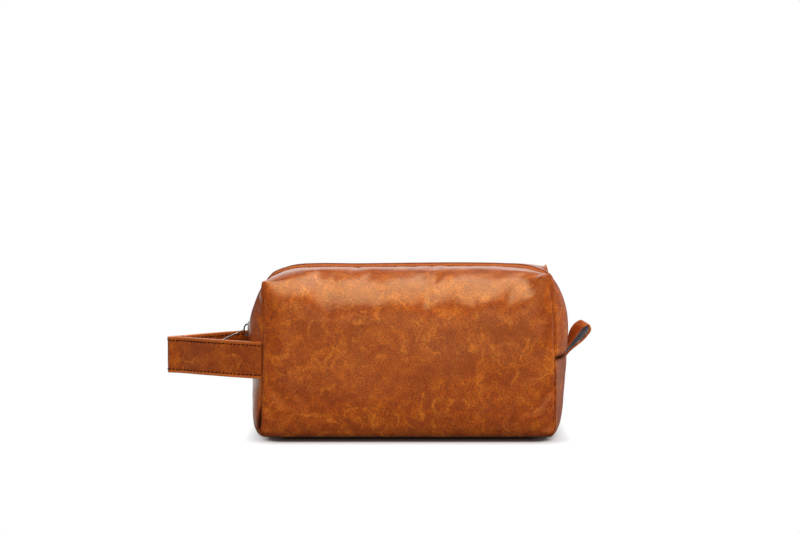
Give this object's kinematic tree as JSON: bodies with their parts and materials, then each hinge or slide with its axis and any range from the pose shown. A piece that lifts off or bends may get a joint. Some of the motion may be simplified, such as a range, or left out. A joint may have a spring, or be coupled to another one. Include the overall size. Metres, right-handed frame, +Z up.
{
  "type": "shaving kit bag",
  "caption": "Soft leather box bag for shaving things, with a zip over the top and down both ends, a strap loop on one end and a small tab loop on the other.",
  "frame": {"origin": "centre of the flat bottom face the bag rests on", "axes": "+X along the bag's length towards the side tab, -X towards the strap loop, front faces -Y, +Z up"},
  "size_m": [0.3614, 0.12, 0.1367],
  "materials": {
    "leather": "waxed, semi-gloss, marbled",
    "lining": "woven, dark",
    "padding": "non-woven, matt",
    "board": "matt",
    "binding": "woven tape",
    "zip_tape": "woven tape",
    "zip_teeth": "satin nylon",
    "metal": "polished, lightly brushed",
    "webbing": "woven"
  },
  "bodies": {
    "root": {"front_panel": "leather", "back_panel": "leather", "bottom_panel": "leather", "left_end_lower": "leather", "right_end_lower": "leather", "left_end_front_quarter": "leather", "left_end_rear_quarter": "leather", "right_end_front_quarter": "leather", "right_end_rear_quarter": "leather", "top_front_margin": "leather", "top_rear_margin": "leather", "front_padding": "padding", "back_padding": "padding", "front_lining": "lining", "back_lining": "lining", "bottom_board": "board", "bottom_lining": "lining", "left_end_lining": "lining", "right_end_lining": "lining", "left_seam_bindings": "binding", "right_seam_bindings": "binding", "left_zip_tail": "zip_tape", "right_zip_tail": "zip_tape", "zip_stops": "metal", "front_strap_end": "leather", "rear_strap_end": "leather"},
    "mouth_front": {"front_flap": "leather", "front_flap_lining": "lining", "front_zip_tape": "zip_tape", "front_zip_teeth": "zip_teeth"},
    "mouth_rear": {"rear_flap": "leather", "rear_flap_lining": "lining", "rear_zip_tape": "zip_tape", "rear_zip_teeth": "zip_teeth"},
    "zip_slider": {"zip_slider_body": "metal", "zip_slider_bridge": "metal"},
    "zip_pull": {"zip_pull": "metal"},
    "carry_strap": {"carry_strap_leather": "leather", "carry_strap_backing": "leather"},
    "side_tab": {"side_tab_leather": "leather", "side_tab_backing": "webbing"}
  },
  "joints": [
    {"name": "mouth_front_open", "type": "hinge", "parent": "root", "child": "mouth_front", "pos_m": [0, 0, 0.084], "axis": [1, 0, 0], "range_deg": [0, 40]},
    {"name": "mouth_rear_open", "type": "hinge", "parent": "root", "child": "mouth_rear", "pos_m": [0, 0, 0.084], "axis": [-1, 0, 0], "range_deg": [0, 40]},
    {"name": "zip_travel", "type": "hinge", "parent": "mouth_front", "child": "zip_slider", "pos_m": [-0.058, 0, 0.08], "axis": [0, 1, 0], "range_deg": [0, 30]},
    {"name": "pull_swing", "type": "hinge", "parent": "zip_slider", "child": "zip_pull", "pos_m": [-0.13729, 0, 0.08229], "axis": [0, 1, 0], "range_deg": [-54, 80]},
    {"name": "strap_swing", "type": "hinge", "parent": "root", "child": "carry_strap", "pos_m": [-0.142, 0, 0.063], "axis": [0, 1, 0], "range_deg": [-35, 45]},
    {"name": "tab_flap", "type": "hinge", "parent": "root", "child": "side_tab", "pos_m": [0.1352, 0, 0.0646], "axis": [0, 1, 0], "range_deg": [-25, 112]}
  ]
}
